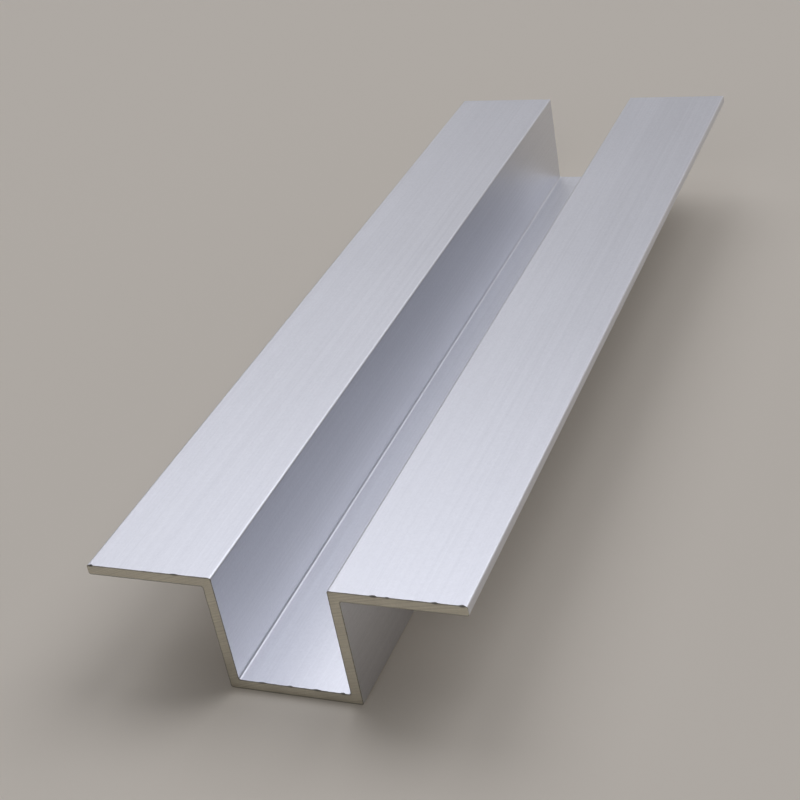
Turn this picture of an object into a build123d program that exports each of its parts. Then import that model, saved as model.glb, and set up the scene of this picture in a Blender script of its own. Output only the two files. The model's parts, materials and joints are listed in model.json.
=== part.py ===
from build123d import *
import os

# A hat-section profile in millimetres: one extruded piece, cut square at both ends.
# X runs across the section, Y along the length and Z up. The origin is on the underside of the
# channel floor, at the middle of the width and of the length.

LENGTH = 100.0          # a short cut length
CHANNEL_WIDTH = 10.5    # clear width between the two walls
CHANNEL_DEPTH = 11.0    # from the tops of the flanges down to the channel floor
FLANGE_REACH = 11.0     # from a wall's outer face out to the tip of its flange
THICKNESS = 1.0         # of the floor, the walls and the flanges alike
EDGE_RADIUS = 0.2       # rounding of the corners that point outwards
ROOT_RADIUS = 0.2       # fillet in the corners that point inwards

HEIGHT = CHANNEL_DEPTH + THICKNESS
WALL_INNER = CHANNEL_WIDTH / 2
WALL_OUTER = WALL_INNER + THICKNESS
FLANGE_TIP = WALL_OUTER + FLANGE_REACH


def leg(left, right, bottom, top):
    """One straight leg of the section, between two places across it and two heights."""
    return Pos((left + right) / 2, (bottom + top) / 2) * Rectangle(right - left, top - bottom)


def sharp_section():
    """Floor, walls and flanges joined into one outline, with all its corners still sharp."""
    floor = leg(-WALL_OUTER, WALL_OUTER, 0, THICKNESS)
    wall = leg(WALL_INNER, WALL_OUTER, 0, HEIGHT)
    flange = leg(WALL_INNER, FLANGE_TIP, HEIGHT - THICKNESS, HEIGHT)
    right_side = wall + flange
    left_side = mirror(right_side, about=Plane.YZ)
    return floor + right_side + left_side


def is_outward(corner):
    """True for a corner on the base line, on the top line or at the tip of a flange."""
    on_base = corner.Y < THICKNESS / 2
    on_top = corner.Y > HEIGHT - THICKNESS / 2
    at_tip = abs(corner.X) > FLANGE_TIP - THICKNESS / 2
    return on_base or on_top or at_tip


def rounded_section():
    """The section with a fillet in each inward corner and each outward corner rounded."""
    section = sharp_section()
    inward = [corner for corner in section.vertices() if not is_outward(corner)]
    section = fillet(inward, ROOT_RADIUS)
    outward = [corner for corner in section.vertices() if is_outward(corner)]
    return fillet(outward, EDGE_RADIUS)


def hat_profile():
    """The section stood upright and drawn out evenly to both ends of the length."""
    upright = Plane.XZ * rounded_section()
    return extrude(upright, amount=LENGTH / 2, both=True)


os.makedirs("parts", exist_ok=True)
profile = hat_profile()
profile.label = "hat_profile"
export_step(profile, "parts/hat_profile.step")
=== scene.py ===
# A short length of satin anodised hat-section aluminium profile, saw-cut at both ends, on a pale floor.
# Metres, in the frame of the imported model: X across the section, Y along the length, Z up.

import json
import math

import bpy
import numpy as np
from mathutils import Matrix, Vector


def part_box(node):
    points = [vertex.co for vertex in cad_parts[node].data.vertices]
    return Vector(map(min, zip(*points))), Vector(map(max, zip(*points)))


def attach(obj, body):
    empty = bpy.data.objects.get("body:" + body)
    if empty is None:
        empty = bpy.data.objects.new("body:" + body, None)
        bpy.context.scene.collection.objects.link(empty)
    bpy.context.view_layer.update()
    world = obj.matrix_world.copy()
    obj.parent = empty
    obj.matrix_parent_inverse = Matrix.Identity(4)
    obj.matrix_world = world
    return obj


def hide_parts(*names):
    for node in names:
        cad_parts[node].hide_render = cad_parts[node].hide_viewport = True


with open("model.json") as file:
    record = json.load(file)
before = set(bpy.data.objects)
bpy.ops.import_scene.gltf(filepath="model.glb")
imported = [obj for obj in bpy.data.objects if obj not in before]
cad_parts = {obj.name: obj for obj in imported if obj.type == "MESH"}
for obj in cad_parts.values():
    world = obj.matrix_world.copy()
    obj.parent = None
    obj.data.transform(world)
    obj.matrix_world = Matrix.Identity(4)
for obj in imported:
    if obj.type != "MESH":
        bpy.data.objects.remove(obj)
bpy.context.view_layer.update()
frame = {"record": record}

MM = 0.001
SEED = 7

# The section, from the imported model: its box and the places of the faces that the record names.
mounts = {mount["name"]: mount["pos_m"] for mount in frame["record"]["mounts"]}
low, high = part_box("hat_profile")
TIP = high.x
TOP = high.z
HALF_LENGTH = high.y
THICKNESS = mounts["channel_floor"][2]
WALL_OUTER = mounts["right_wall_outside"][0]
WALL_INNER = WALL_OUTER - THICKNESS
EDGE_RADIUS = 0.2 * MM     # of the corners that point outwards
ROOT_RADIUS = 0.2 * MM     # of the fillets in the corners that point inwards

# How finely the surface is divided.
STEP_ACROSS = 0.1 * MM     # along the outline of the section
STEP_ALONG = 2.5 * MM      # along the length, away from the ends
END_STEPS = np.array([0.25, 0.5, 0.9, 1.5, 2.4]) * MM    # closer rows, clear of the torn spots
BEND_STEPS = 8             # in each rounded corner
CUT_STEPS = 8              # across the thickness, on the cut ends
SHARP_ANGLE = math.radians(25)

# Fine relief, all of it cut into the surface so that nothing stands out of the section.
# The widths and spacings without a unit count points of the outline.
LINE_DEPTH = 0.0025 * MM   # of the common die lines
LINE_WIDTHS = (1.5, 3.5, 9)
SCORE_DEPTH = 0.008 * MM   # of the few deeper lines
SCORE_SPACING = 90
BREAK_DEPTH = 0.03 * MM    # of the broken edge round each saw cut, back along the length
BREAK_LEAST = 0.35         # the shallowest part of it, as a share of that depth
BREAK_MOST = 1.6           # what its deepest part adds, as a share of that depth
BREAK_WIDTHS = (4, 11)     # of its waves
BREAK_SLANT = 0.8          # how far it reaches in over the cut face, as a share of its depth there
BREAK_LIMIT = 0.5 * EDGE_RADIUS    # the furthest that it reaches in
SAW_DEPTH = 0.008 * MM     # of the saw's marks
SAW_SPACING = 0.06 * MM    # from one sample of them to the next
SAW_SAMPLES = 2000
SAW_WIDTH = 2.2            # of a mark, in samples
SAW_RADIUS = 125 * MM      # of the blade, whose middle is this far from the marks it leaves
SAW_LEAN = math.radians(18)    # how far the blade's middle lies to the right of straight below
SAW_MIDDLE = (SAW_RADIUS * math.sin(SAW_LEAN), -SAW_RADIUS * math.cos(SAW_LEAN))    # across, height

# The map that the surface is unrolled on: free space round its pieces, and the width of its cuts' edges.
MAP_GAP = 1.0 * MM
MAP_RIM = 0.1 * MM

# Torn spots in the near cut's upper edges: place across the section, height of the edge, width, depth.
FLANGE_TOP = TOP
CHANNEL_FLOOR = THICKNESS
NEAR_SPOTS = [
    (9.3 * MM, FLANGE_TOP, 0.65 * MM, 0.12 * MM),
    (10.5 * MM, FLANGE_TOP, 0.45 * MM, 0.07 * MM),
    (14.5 * MM, FLANGE_TOP, 0.60 * MM, 0.09 * MM),
    (16.8 * MM, FLANGE_TOP, 0.60 * MM, 0.13 * MM),
    (-8.7 * MM, FLANGE_TOP, 0.90 * MM, 0.07 * MM),
    (-16.9 * MM, FLANGE_TOP, 0.60 * MM, 0.14 * MM),
    (-3.0 * MM, CHANNEL_FLOOR, 0.80 * MM, 0.07 * MM),
    (-0.4 * MM, CHANNEL_FLOOR, 0.50 * MM, 0.09 * MM),
    (2.1 * MM, CHANNEL_FLOOR, 0.90 * MM, 0.08 * MM),
    (4.5 * MM, CHANNEL_FLOOR, 0.50 * MM, 0.10 * MM),
]

# Those of the far cut, which the photograph doesn't show, lie anywhere.
FAR_SPOTS = 26
FAR_SPOT_WIDTH = (0.25, 0.7)       # least and most, in mm
FAR_SPOT_DEPTH = (0.05, 0.14)      # least and most, as shares of the width

# Materials: colours from the darkest to the palest, and roughnesses from the least to the most.
SKIN_COLOURS = ((0.67, 0.68, 0.72), (0.79, 0.80, 0.84))
SKIN_ROUGHNESS = (0.37, 0.43)
SKIN_LINES = (0.22 * MM, 50 * MM, 0.22 * MM)     # sizes along X, Y and Z of each kind of fleck
SKIN_GRAIN = (0.22 * MM, 0.32 * MM, 0.22 * MM)
SKIN_CLOUDS = (9 * MM, 22 * MM, 9 * MM)
SKIN_LINE_BUMP = 0.003 * MM
SKIN_GRAIN_BUMP = 0.010 * MM
# Paler colour for the outward arrises: partly polished wear, partly a painted highlight.
ARRIS_HIGHLIGHT_AND_WEAR_COLOUR = (0.88, 0.89, 0.92)
ARRIS_HIGHLIGHT_AND_WEAR_SHARE = 0.6           # how much of that colour the middle of an arris takes
# Bare sawn metal, duller than the skin; its warm tint is partly a painted reflection of a brown surface in
# front of the cut.
CUT_COLOURS = ((0.53, 0.50, 0.43), (0.71, 0.68, 0.58))
CUT_ROUGHNESS = (0.42, 0.55)
CUT_SCRATCHES = 0.15 * MM
CUT_GRAIN = (0.15 * MM, 0.15 * MM, 0.15 * MM)
CUT_CLOUDS = (2.5 * MM, 2.5 * MM, 2.5 * MM)
CUT_SCRATCH_BUMP = 0.012 * MM
CUT_GRAIN_BUMP = 0.008 * MM
# Painted shade: a dark colour along the broken edge round each cut, for the shadow of its burr.
RIM_SHADE_COLOUR = (0.26, 0.25, 0.22)
FLOOR_COLOUR = (0.74, 0.685, 0.595)
FLOOR_ROUGHNESS = 0.8

# Floor and light
FLOOR_REACH = 6.0          # from the middle to each side
LAMP_WIDTH = math.radians(40)              # of each lamp, as seen from the profile
LAMP_COLOUR = (0.97, 0.98, 1.05)
HORIZON_COLOUR = (0.429, 0.402, 0.374)     # as bright as the lit floor, so that the two run together
UPPER_COLOUR = (0.04, 0.04, 0.042)
HORIZON_BAND = (0.24, 0.50)                # heights, as sines, between which one fades into the other

# The photograph's viewpoint, fitted to the edges and corners of the profile in it.
CAMERA_PLACE = (0.0589, -0.13775, 0.0893)
CAMERA_AZIMUTH = math.radians(26.59)       # from the length of the profile round towards -X
CAMERA_ELEVATION = math.radians(30.87)     # that it looks down by
CAMERA_ROLL = math.radians(11.10)
CAMERA_LENS = 72.3
CAMERA_SENSOR = 36.0


# Outline of the section

def straight_pair(upper_from, upper_to, lower_from, lower_to):
    """Matched points along two facing straight faces, each without its last point."""
    count = round(math.dist(upper_from, upper_to) / STEP_ACROSS)
    shares = np.arange(count)[:, None] / count
    upper = np.array(upper_from) * (1 - shares) + np.array(upper_to) * shares
    lower = np.array(lower_from) * (1 - shares) + np.array(lower_to) * shares
    return upper, lower


def arc(centre, radius, start, end):
    """Points on an arc between two angles in degrees, without the last one."""
    angles = np.radians(start + (end - start) * np.arange(BEND_STEPS) / BEND_STEPS)
    return np.array(centre) + radius * np.stack([np.cos(angles), np.sin(angles)], 1)


def right_half():
    """Matched points of the upper and lower side of the section, from the flange's tip in to the middle."""
    e, r, t = EDGE_RADIUS, ROOT_RADIUS, THICKNESS
    under = TOP - t
    pairs = [
        (arc((TIP - e, TOP - e), e, 0, 90), arc((TIP - e, under + e), e, 0, -90)),
        straight_pair((TIP - e, TOP), (WALL_INNER + e, TOP), (TIP - e, under), (WALL_OUTER + r, under)),
        (arc((WALL_INNER + e, TOP - e), e, 90, 180), arc((WALL_OUTER + r, under - r), r, 90, 180)),
        straight_pair((WALL_INNER, TOP - e), (WALL_INNER, t + r), (WALL_OUTER, under - r), (WALL_OUTER, e)),
        (arc((WALL_INNER - r, t + r), r, 0, -90), arc((WALL_OUTER - e, e), e, 0, -90)),
        straight_pair((WALL_INNER - r, t), (0, t), (WALL_OUTER - e, 0), (0, 0)),
    ]
    upper = np.concatenate([pair[0] for pair in pairs])
    lower = np.concatenate([pair[1] for pair in pairs])
    return upper, lower


def two_sides():
    """The upper and the lower side, from the right tip to the left: the right half and its mirror image."""
    sides = []
    for half, middle in zip(right_half(), ((0, THICKNESS), (0, 0))):
        mirrored = half[::-1] * (-1, 1)
        sides.append(np.concatenate([half, [middle], mirrored]))
    return sides


def between(upper, lower):
    """Points that divide the thickness evenly, one row for each matched pair of the two sides."""
    shares = (np.arange(1, CUT_STEPS) / CUT_STEPS)[None, :, None]
    return upper[:, None] * (1 - shares) + lower[:, None] * shares


def closed_ring(upper, lower):
    """The whole outline, anticlockwise: the upper side, the left tip, the lower side and the right tip."""
    tips = between(upper[[0, -1]], lower[[0, -1]])
    return np.concatenate([upper, tips[1], lower[::-1], tips[0][::-1]])


def ring_parts(ring):
    """The upper side, lower side, right tip and left tip of a ring, each from its upper right end."""
    side = len(ring) // 2 - CUT_STEPS + 1
    upper, left_tip, lower, right_tip = np.split(ring, [side, len(ring) // 2, len(ring) // 2 + side])
    return upper, lower[::-1], right_tip[::-1], left_tip


def inward_normals(ring):
    """Unit normals of a closed ring of points that runs anticlockwise, pointing into the metal."""
    along = np.roll(ring, -1, axis=0) - np.roll(ring, 1, axis=0)
    along /= np.linalg.norm(along, axis=1)[:, None]
    return np.stack([-along[:, 1], along[:, 0]], 1)


def arris_shares(ring, normals):
    """1 in the middle of a corner that points outwards, 0 on flat faces and in the fillets."""
    slant = 2 * np.minimum(np.abs(normals[:, 0]), np.abs(normals[:, 1]))
    turn = np.roll(normals, -1, axis=0) - np.roll(normals, 1, axis=0)
    along = np.roll(ring, -1, axis=0) - np.roll(ring, 1, axis=0)
    outward = np.sum(turn * along, axis=1) < 0
    return np.where(outward, np.clip(slant, 0, 1), 0.0)


# Relief

def smooth_noise(generator, count, width):
    """Even noise from -1 to 1 whose bumps are about width samples wide."""
    knots = generator.uniform(-1, 1, int(count / width) + 3)
    places = np.arange(count) / width
    index = places.astype(int)
    share = places - index
    share = share * share * (3 - 2 * share)
    return knots[index] * (1 - share) + knots[index + 1] * share


def die_lines(generator, count, rows):
    """Depth of the lines that the die draws along the surface, for each row and each point of the ring."""
    depth = np.zeros((rows, count))
    for width in LINE_WIDTHS:
        strength = 0.75 + 0.25 * smooth_noise(generator, rows, rows / 3)[:, None]
        wave = 0.5 + 0.5 * smooth_noise(generator, count, width)[None, :]
        depth += LINE_DEPTH * strength * wave / len(LINE_WIDTHS)
    for place in generator.integers(0, count, count // SCORE_SPACING):
        fade = np.clip(0.5 + smooth_noise(generator, rows, rows / 2.5), 0, 1)
        depth[:, place] += fade * SCORE_DEPTH * generator.uniform(0.3, 1)
    return depth


def ragged_edge(generator, ring, torn_spots):
    """How far the edge round a saw cut is broken back at each point of the ring, evenly so at the tips."""
    count = len(ring)
    short_waves, long_waves = [smooth_noise(generator, count, width) for width in BREAK_WIDTHS]
    depth = BREAK_DEPTH * BREAK_MOST * np.abs(short_waves * long_waves)
    for across, height, width, reach in torn_spots:
        distance = np.hypot(ring[:, 0] - across, ring[:, 1] - height)
        depth += reach * np.clip(1 - (2 * distance / width) ** 2, 0, 1)
    from_tip = (TIP - np.abs(ring[:, 0])) / (2 * EDGE_RADIUS)
    return BREAK_DEPTH * BREAK_LEAST + depth * np.clip(from_tip, 0, 1)


def random_spots(generator, ring):
    """Small torn spots anywhere round a cut."""
    spots = []
    for across, height in ring[generator.integers(0, len(ring), FAR_SPOTS)]:
        width = generator.uniform(*FAR_SPOT_WIDTH) * MM
        reach = generator.uniform(*FAR_SPOT_DEPTH) * width
        spots.append((across, height, width, reach))
    return spots


def saw_marks(generator, across, height):
    """Depth of the saw's marks: arcs round the blade's middle, some deeper than others."""
    reach = np.hypot(across - SAW_MIDDLE[0], height - SAW_MIDDLE[1])
    marks = smooth_noise(generator, SAW_SAMPLES, SAW_WIDTH)
    return SAW_DEPTH * (0.5 + 0.5 * marks[(reach / SAW_SPACING).astype(int) % SAW_SAMPLES])


# Mesh

def rows_along():
    """Places of the rows along the length: evenly spread, and closer together near the cuts."""
    even = HALF_LENGTH - END_STEPS[-1]
    count = round(2 * even / STEP_ALONG)
    close = HALF_LENGTH - END_STEPS[:-1]
    return np.concatenate([-close, np.linspace(-even, even, count + 1), close[::-1]])


def skin_rings(ring, normals, generator):
    """The drawn surface: one ring of the section for each row, with the die lines cut in."""
    rows = rows_along()
    depth = die_lines(generator, len(ring), len(rows))
    outline = ring[None, :, :] + normals[None, :, :] * depth[:, :, None]
    along = np.repeat(rows[:, None], len(ring), axis=1)
    return np.stack([outline[:, :, 0], along, outline[:, :, 1]], 2)


def broken_edge(skin_row, normals, side, broken):
    """The last ring of the skin and the rim of the cut face, with the broken edge between them."""
    outer = skin_row.copy()
    outer[:, 1] = side * (HALF_LENGTH - broken)
    rim = skin_row.copy()
    inward = np.minimum(BREAK_SLANT * broken, BREAK_LIMIT)
    rim[:, [0, 2]] += normals * inward[:, None]
    rim[:, 1] = side * HALF_LENGTH
    return outer, rim


def band_faces(numbers):
    """The faces between each ring of numbered points and the next one."""
    first, second = numbers[:-1], numbers[1:]
    corners = [first, second, np.roll(second, -1, axis=1), np.roll(first, -1, axis=1)]
    return np.stack(corners, 2).reshape(-1, 4).tolist()


def cut_points(rim, side, generator):
    """Points of a cut face between the matched points of its rim, pressed in by the saw's marks."""
    upper, lower, _, _ = ring_parts(rim)
    points = between(upper[1:-1], lower[1:-1])
    points[:, :, 1] -= side * saw_marks(generator, points[:, :, 0], points[:, :, 2])
    return points.reshape(-1, 3)


def cut_faces(rim_numbers, first_inside, side):
    """The faces of a cut, between the numbered points of its rim and those inside it."""
    upper, lower, right_tip, left_tip = ring_parts(rim_numbers)
    inside = first_inside + np.arange((len(upper) - 2) * (CUT_STEPS - 1))
    middle = np.concatenate([right_tip, inside, left_tip]).reshape(len(upper), CUT_STEPS - 1)
    grid = np.column_stack([upper, middle, lower])
    corners = np.stack([grid[:-1, :-1], grid[:-1, 1:], grid[1:, 1:], grid[1:, :-1]], 2)
    return corners.reshape(-1, 4)[:, ::side].tolist()


def map_places(ring, rows, cut_corners):
    """Each face corner's place on the map: the drawn surface unrolled, and the cut faces in front of it."""
    steps = np.linalg.norm(np.roll(ring, -1, axis=0) - ring, axis=1)
    reach = np.concatenate([[0.0], np.cumsum(steps)])
    columns = MAP_GAP + reach[-1] - reach
    edges = (HALF_LENGTH, HALF_LENGTH + MAP_RIM)
    rows = np.concatenate([[-edges[1], -edges[0]], rows, edges]) + edges[1] + TOP + 2 * MAP_GAP
    sheet = np.empty((len(rows) - 1, len(ring), 4, 2))
    sheet[..., 0] = np.stack([columns[:-1], columns[:-1], columns[1:], columns[1:]], 1)
    sheet[..., 1] = np.stack([rows[:-1], rows[1:], rows[1:], rows[:-1]], 1)[:, None]

    across, along, height = cut_corners.T
    near_place = MAP_GAP + TIP + across
    far_place = 2 * MAP_GAP + 3 * TIP - across
    cuts = np.stack([np.where(along < 0, near_place, far_place), MAP_GAP + height], 1)
    return np.concatenate([sheet.reshape(-1, 2), cuts]) / (reach[-1] + 2 * MAP_GAP)


def profile_mesh():
    """Points, faces, materials (0 skin, 1 saw cut), the points' shares and the map's places."""
    generator = np.random.default_rng(SEED)
    ring = closed_ring(*two_sides())
    normals = inward_normals(ring)
    skin = skin_rings(ring, normals, generator)
    near_broken = ragged_edge(generator, ring, NEAR_SPOTS)
    far_broken = ragged_edge(generator, ring, random_spots(generator, ring))
    near_outer, near_rim = broken_edge(skin[0], normals, -1, near_broken)
    far_outer, far_rim = broken_edge(skin[-1], normals, 1, far_broken)
    rings = [near_rim, near_outer, *skin, far_outer, far_rim]

    count = len(ring)
    numbers = np.arange(len(rings) * count).reshape(len(rings), count)
    faces = band_faces(numbers)
    drawn_faces = len(faces)
    materials = np.zeros(drawn_faces, int)
    materials[:count] = 1
    materials[-count:] = 1

    points = np.concatenate(rings)
    for rim, rim_numbers, side in ((near_rim, numbers[0], -1), (far_rim, numbers[-1], 1)):
        faces.extend(cut_faces(rim_numbers, len(points), side))
        points = np.concatenate([points, cut_points(rim, side, generator)])
    materials = np.concatenate([materials, np.ones(len(faces) - drawn_faces, int)])
    places = map_places(ring, rows_along(), points[faces[drawn_faces:]].reshape(-1, 3))
    arris = np.zeros(len(points))
    arris[:numbers.size] = np.tile(arris_shares(ring, normals), len(rings))
    # The rim share marks where painted shade goes: the rings of the broken edges round both cuts.
    rim = np.zeros(len(points))
    rim[numbers[[0, 1, -2, -1]]] = 1.0
    return points, faces, materials, {"arris": arris, "rim": rim}, places


def build_profile():
    """The whole profile as one mesh object that rides on the part's one body."""
    points, faces, materials, shares, places = profile_mesh()
    mesh = bpy.data.meshes.new("profile_surface")
    mesh.from_pydata(points.tolist(), [], faces)
    mesh.polygons.foreach_set("material_index", materials)
    mesh.polygons.foreach_set("use_smooth", [True] * len(faces))
    for name, values in shares.items():
        mesh.attributes.new(name, "FLOAT", "POINT").data.foreach_set("value", values)
    mesh.uv_layers.new(name="OFBake").data.foreach_set("uv", places.ravel())
    mesh.set_sharp_from_angle(angle=SHARP_ANGLE)
    mesh.validate()
    profile = bpy.data.objects.new("profile_surface", mesh)
    bpy.context.scene.collection.objects.link(profile)
    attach(profile, "root")
    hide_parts("hat_profile")
    return profile


# Materials

def new_material(name):
    """A material with one Principled shader, and its node tree."""
    material = bpy.data.materials.new(name)
    material.use_nodes = True
    tree = material.node_tree
    tree.nodes.clear()
    output = tree.nodes.new("ShaderNodeOutputMaterial")
    shader = tree.nodes.new("ShaderNodeBsdfPrincipled")
    tree.links.new(shader.outputs["BSDF"], output.inputs["Surface"])
    return material, tree, shader


def noise(tree, grain, detail=2.0, roughness=0.5):
    """Noise over the object whose grains have the given size along X, Y and Z."""
    place = tree.nodes.new("ShaderNodeTexCoord")
    stretch = tree.nodes.new("ShaderNodeMapping")
    stretch.inputs["Scale"].default_value = [1 / size for size in grain]
    tree.links.new(place.outputs["Object"], stretch.inputs["Vector"])
    node = tree.nodes.new("ShaderNodeTexNoise")
    node.inputs["Scale"].default_value = 1.0
    node.inputs["Detail"].default_value = detail
    node.inputs["Roughness"].default_value = roughness
    tree.links.new(stretch.outputs["Vector"], node.inputs["Vector"])
    return node.outputs["Fac"]


def share(tree, name):
    """One of the shares that the mesh carries at its points."""
    node = tree.nodes.new("ShaderNodeAttribute")
    node.attribute_name = name
    return node.outputs["Fac"]


def ranged(tree, value, taken, given=(0.0, 1.0)):
    """A value carried from one range to another and held inside it."""
    node = tree.nodes.new("ShaderNodeMapRange")
    node.inputs["From Min"].default_value = taken[0]
    node.inputs["From Max"].default_value = taken[1]
    node.inputs["To Min"].default_value = given[0]
    node.inputs["To Max"].default_value = given[1]
    tree.links.new(value, node.inputs["Value"])
    return node.outputs["Result"]


def math_node(tree, operation, a, b):
    """One operation on two values, each a number or another node's output."""
    node = tree.nodes.new("ShaderNodeMath")
    node.operation = operation
    for socket, value in zip(node.inputs, (a, b)):
        if isinstance(value, (int, float)):
            socket.default_value = value
        else:
            tree.links.new(value, socket)
    return node.outputs[0]


def weighted(tree, *layers):
    """The sum of layers given as (value, weight)."""
    total = 0.0
    for value, weight in layers:
        total = math_node(tree, "ADD", math_node(tree, "MULTIPLY", value, weight), total)
    return total


def blended(tree, factor, first, second):
    """A colour between two, each three numbers or another node's output."""
    node = tree.nodes.new("ShaderNodeMix")
    node.data_type = "RGBA"
    for socket, colour in zip(("A", "B"), (first, second)):
        if isinstance(colour, tuple):
            node.inputs[socket].default_value = (*colour, 1)
        else:
            tree.links.new(colour, node.inputs[socket])
    tree.links.new(factor, node.inputs["Factor"])
    return node.outputs["Result"]


def bumped(tree, shader, *layers):
    """Chains bump layers of (height, depth in metres) into the shader's normal."""
    normal = None
    for height, depth in layers:
        bump = tree.nodes.new("ShaderNodeBump")
        bump.inputs["Distance"].default_value = depth
        tree.links.new(height, bump.inputs["Height"])
        if normal is not None:
            tree.links.new(normal, bump.inputs["Normal"])
        normal = bump.outputs["Normal"]
    tree.links.new(normal, shader.inputs["Normal"])


def satin_aluminium():
    """Etched and clear anodised skin: fine matt grain, faint lines along the length, arrises paler as wear
    and painted highlight.
    """
    material, tree, shader = new_material("satin_anodised_skin")
    shader.inputs["Metallic"].default_value = 1.0
    lines = noise(tree, SKIN_LINES, detail=4.0, roughness=0.6)
    grain = noise(tree, SKIN_GRAIN, detail=4.0, roughness=0.7)
    cloud = noise(tree, SKIN_CLOUDS, detail=3.0, roughness=0.55)
    # Painted highlight, partly wear: the middle of each arris takes a paler colour.
    arris = math_node(tree, "MULTIPLY", share(tree, "arris"), ARRIS_HIGHLIGHT_AND_WEAR_SHARE)

    tone = weighted(tree, (lines, 0.4), (grain, 0.45), (cloud, 0.15))
    tone = ranged(tree, tone, taken=(0.3, 0.7))
    colour = blended(tree, arris, blended(tree, tone, *SKIN_COLOURS), ARRIS_HIGHLIGHT_AND_WEAR_COLOUR)
    tree.links.new(colour, shader.inputs["Base Color"])

    rough = weighted(tree, (lines, 0.3), (grain, 0.5), (cloud, 0.2))
    rough = ranged(tree, rough, taken=(0.3, 0.7), given=SKIN_ROUGHNESS)
    tree.links.new(rough, shader.inputs["Roughness"])
    bumped(tree, shader, (lines, SKIN_LINE_BUMP), (grain, SKIN_GRAIN_BUMP))
    return material


def scratches(tree):
    """Noise in rings round the place of the saw blade's middle."""
    place = tree.nodes.new("ShaderNodeTexCoord")
    reach = tree.nodes.new("ShaderNodeVectorMath")
    reach.operation = "DISTANCE"
    reach.inputs[1].default_value = (SAW_MIDDLE[0], -HALF_LENGTH, SAW_MIDDLE[1])
    tree.links.new(place.outputs["Object"], reach.inputs[0])
    marks = tree.nodes.new("ShaderNodeTexNoise")
    marks.noise_dimensions = "1D"
    marks.inputs["Scale"].default_value = 1 / CUT_SCRATCHES
    marks.inputs["Detail"].default_value = 3.0
    tree.links.new(reach.outputs["Value"], marks.inputs["W"])
    return marks.outputs["Fac"]


def sawn_aluminium():
    """Bare metal of the saw cut: duller, warmer partly as a painted reflection, fine curved scratches and a
    painted-shade rim.
    """
    material, tree, shader = new_material("sawn_aluminium")
    shader.inputs["Metallic"].default_value = 1.0
    marks = scratches(tree)
    grain = noise(tree, CUT_GRAIN)
    cloud = noise(tree, CUT_CLOUDS)

    tone = weighted(tree, (marks, 0.5), (grain, 0.2), (cloud, 0.3))
    tone = ranged(tree, tone, taken=(0.35, 0.65))
    # Painted shade: the rim share darkens the cut's edges.
    colour = blended(tree, share(tree, "rim"), blended(tree, tone, *CUT_COLOURS), RIM_SHADE_COLOUR)
    tree.links.new(colour, shader.inputs["Base Color"])
    rough = ranged(tree, tone, taken=(0.0, 1.0), given=CUT_ROUGHNESS)
    tree.links.new(rough, shader.inputs["Roughness"])
    bumped(tree, shader, (marks, CUT_SCRATCH_BUMP), (grain, CUT_GRAIN_BUMP))
    return material


def plain_material(name, colour, roughness):
    """An even, matt material for the floor."""
    material, tree, shader = new_material(name)
    shader.inputs["Base Color"].default_value = (*colour, 1)
    shader.inputs["Roughness"].default_value = roughness
    return material


# Floor, light and camera

def build_floor():
    """A plain pale floor, wide enough to fill every view."""
    reach = FLOOR_REACH
    corners = [(-reach, -reach, 0), (reach, -reach, 0), (reach, reach, 0), (-reach, reach, 0)]
    mesh = bpy.data.meshes.new("floor")
    mesh.from_pydata(corners, [], [(0, 1, 2, 3)])
    mesh.materials.append(plain_material("pale_floor", FLOOR_COLOUR, FLOOR_ROUGHNESS))
    floor = bpy.data.objects.new("floor", mesh)
    bpy.context.scene.collection.objects.link(floor)


def distant_lamp(name, azimuth, elevation, strength):
    """A broad lamp a long way off. Azimuth is in degrees from the far end (+Y) round towards +X."""
    around, up = math.radians(azimuth), math.radians(elevation)
    away = Vector((math.sin(around) * math.cos(up), math.cos(around) * math.cos(up), math.sin(up)))
    lamp = bpy.data.lights.new(name, "SUN")
    lamp.angle = LAMP_WIDTH
    lamp.energy = strength
    lamp.color = LAMP_COLOUR
    holder = bpy.data.objects.new(name, lamp)
    holder.matrix_world = (-away).to_track_quat("-Z", "Y").to_matrix().to_4x4()
    bpy.context.scene.collection.objects.link(holder)


def build_light():
    """Broad lamps, the two strongest beyond the far end, and a world that is palest near the horizon."""
    distant_lamp("left_lamp", azimuth=323, elevation=53, strength=0.64)
    distant_lamp("far_lamp", azimuth=0, elevation=45, strength=0.08)
    distant_lamp("right_lamp", azimuth=40, elevation=50, strength=0.76)
    distant_lamp("near_lamp", azimuth=175, elevation=33, strength=0.22)
    distant_lamp("top_lamp", azimuth=0, elevation=88, strength=0.24)
    world = bpy.data.worlds.new("studio")
    world.use_nodes = True
    tree = world.node_tree
    direction = tree.nodes.new("ShaderNodeTexCoord")
    parts = tree.nodes.new("ShaderNodeSeparateXYZ")
    tree.links.new(direction.outputs["Generated"], parts.inputs["Vector"])
    height = ranged(tree, parts.outputs["Z"], taken=HORIZON_BAND)
    colour = blended(tree, height, HORIZON_COLOUR, UPPER_COLOUR)
    tree.links.new(colour, tree.nodes["Background"].inputs["Color"])
    bpy.context.scene.world = world


def build_camera():
    """The photograph's viewpoint, with the profile in the middle of the picture."""
    camera = bpy.data.cameras.new("camera")
    camera.sensor_width = CAMERA_SENSOR
    camera.lens = CAMERA_LENS
    camera.clip_start = 0.01
    camera.clip_end = 50.0
    holder = bpy.data.objects.new("camera", camera)
    place = Matrix.Translation(CAMERA_PLACE)
    turn = Matrix.Rotation(CAMERA_AZIMUTH, 4, "Z")
    tilt = Matrix.Rotation(math.pi / 2 - CAMERA_ELEVATION, 4, "X")
    roll = Matrix.Rotation(-CAMERA_ROLL, 4, "Z")
    holder.matrix_world = place @ turn @ tilt @ roll
    bpy.context.scene.collection.objects.link(holder)
    bpy.context.scene.camera = holder


bpy.context.scene.view_settings.view_transform = "Standard"
profile = build_profile()
profile.data.materials.append(satin_aluminium())
profile.data.materials.append(sawn_aluminium())
build_floor()
build_light()
build_camera()
